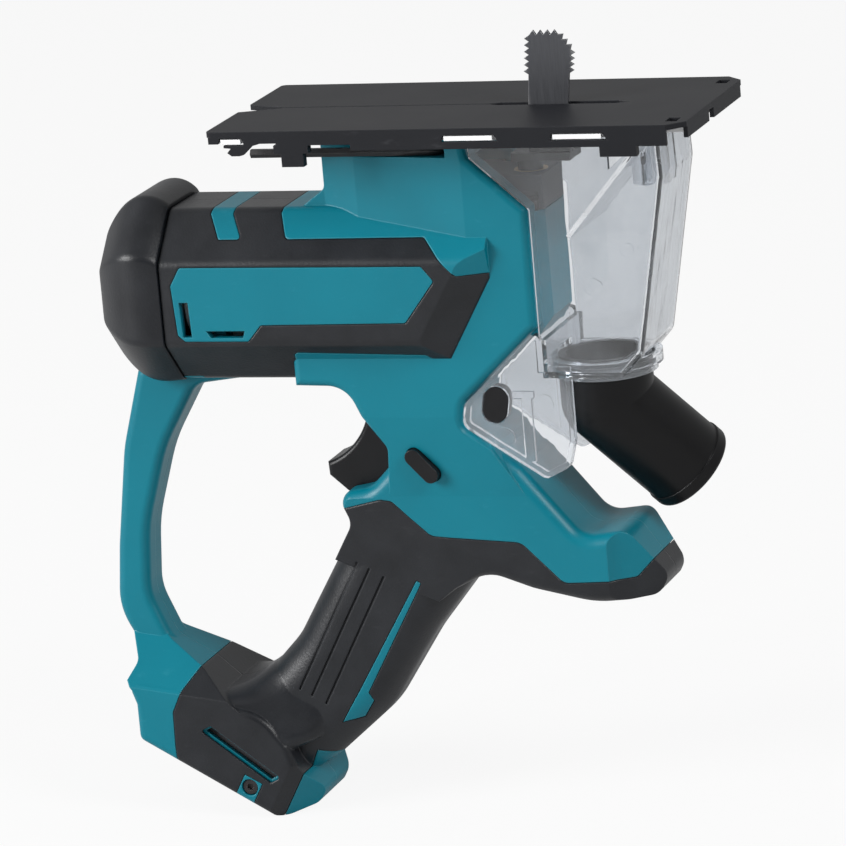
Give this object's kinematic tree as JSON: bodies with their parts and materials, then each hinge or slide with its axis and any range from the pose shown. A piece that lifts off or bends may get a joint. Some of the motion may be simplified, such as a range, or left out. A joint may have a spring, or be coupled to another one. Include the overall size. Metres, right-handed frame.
{
  "type": "cordless drywall saw",
  "caption": "Hand-held drywall saw with a flat base, short reciprocating blade, motor barrel, clear dust case with a swivelling nozzle and a looped pistol grip.",
  "frame": {"origin": "middle of the base slot on the top face of the base cover", "axes": "+Z the way the blade points, +X towards the dust nozzle, +Y away from the pictured side"},
  "size_m": [0.2421, 0.082, 0.2885],
  "materials": {
    "teal_plastic": "fine grain",
    "soft_black": "soft matt",
    "cover_black": "satin",
    "nozzle_black": "satin",
    "clear_plastic": "clear, glossy",
    "zinc_steel": "bright zinc",
    "plain_steel": "ground",
    "blade_steel": "dark coating",
    "black_oxide": "black oxide",
    "coated_casting": "dark coated casting",
    "bronze": "sintered",
    "copper": "enamelled",
    "dark_iron": "laminated",
    "carbon": "matt",
    "inner_plastic": "matt",
    "board_green": "lacquered",
    "wire_red": "soft"
  },
  "bodies": {
    "tool": {"housing_left": "teal_plastic", "housing_right": "teal_plastic", "rear_cover": "soft_black", "barrel_sleeve_left": "soft_black", "barrel_sleeve_right": "soft_black", "grip_sleeve_left": "soft_black", "grip_sleeve_right": "soft_black", "housing_screws": "black_oxide", "foot_screws": "black_oxide", "base_cover": "cover_black", "base_plate": "zinc_steel", "base_bracket": "zinc_steel", "base_screws": "zinc_steel", "hex_wrench": "black_oxide", "gear_case": "coated_casting", "upper_bush": "bronze", "lower_bush": "bronze", "motor_front_bearing": "plain_steel", "motor_rear_bearing": "plain_steel", "crank_rear_bearing": "plain_steel", "crank_front_bearing": "plain_steel", "motor_can": "zinc_steel", "magnets": "carbon", "motor_end_cap": "inner_plastic", "brushes": "carbon", "switch_body": "inner_plastic", "terminal_block": "inner_plastic", "terminal_contacts": "bronze", "control_board": "board_green", "battery_leads": "wire_red", "motor_leads": "wire_red"},
    "rotor": {"motor_shaft": "plain_steel", "armature": "dark_iron", "windings": "copper", "commutator": "copper", "cooling_fan": "inner_plastic", "pinion": "plain_steel"},
    "crank": {"drive_gear": "plain_steel", "crank_shaft": "plain_steel", "crank_pin": "plain_steel", "crank_roller": "plain_steel"},
    "plunger": {"plunger": "black_oxide", "blade_clamp": "black_oxide", "clamp_screw": "black_oxide", "blade": "blade_steel"},
    "trigger": {"trigger": "inner_plastic"},
    "lock_off": {"lock_off_button": "inner_plastic"},
    "dust_case": {"dust_case": "clear_plastic", "case_catch": "inner_plastic"},
    "nozzle": {"nozzle": "nozzle_black"}
  },
  "joints": [
    {"name": "rotor_spin", "type": "hinge", "parent": "tool", "child": "rotor", "pos_m": [-0.1, 0, -0.0654], "axis": [1, 0, 0], "continuous": true},
    {"name": "crank_spin", "type": "hinge", "parent": "tool", "child": "crank", "pos_m": [-0.04, 0, -0.0459], "axis": [1, 0, 0], "continuous": true},
    {"name": "plunger_stroke", "type": "slide", "parent": "tool", "child": "plunger", "axis": [0, 0, 1], "range_m": [-0.003, 0.003]},
    {"name": "trigger_pull", "type": "slide", "parent": "tool", "child": "trigger", "axis": [0.8763, 0, -0.4818], "range_m": [0, 0.006], "stiffness_N_per_m": 500, "springref_m": -0.002},
    {"name": "lock_off_push", "type": "slide", "parent": "tool", "child": "lock_off", "axis": [0, 1, 0], "range_m": [0, 0.0025], "stiffness_N_per_m": 300, "springref_m": -0.001},
    {"name": "dust_case_pull", "type": "slide", "parent": "tool", "child": "dust_case", "axis": [1, 0, 0], "range_m": [0, 0.06]},
    {"name": "nozzle_swivel", "type": "hinge", "parent": "dust_case", "child": "nozzle", "pos_m": [0.013, 0, -0.1], "axis": [0, 0, 1], "range_deg": [-80, 0]}
  ],
  "couplings": [
    {"joint": "crank_spin", "follows": "rotor_spin", "ratio": -0.25}
  ]
}
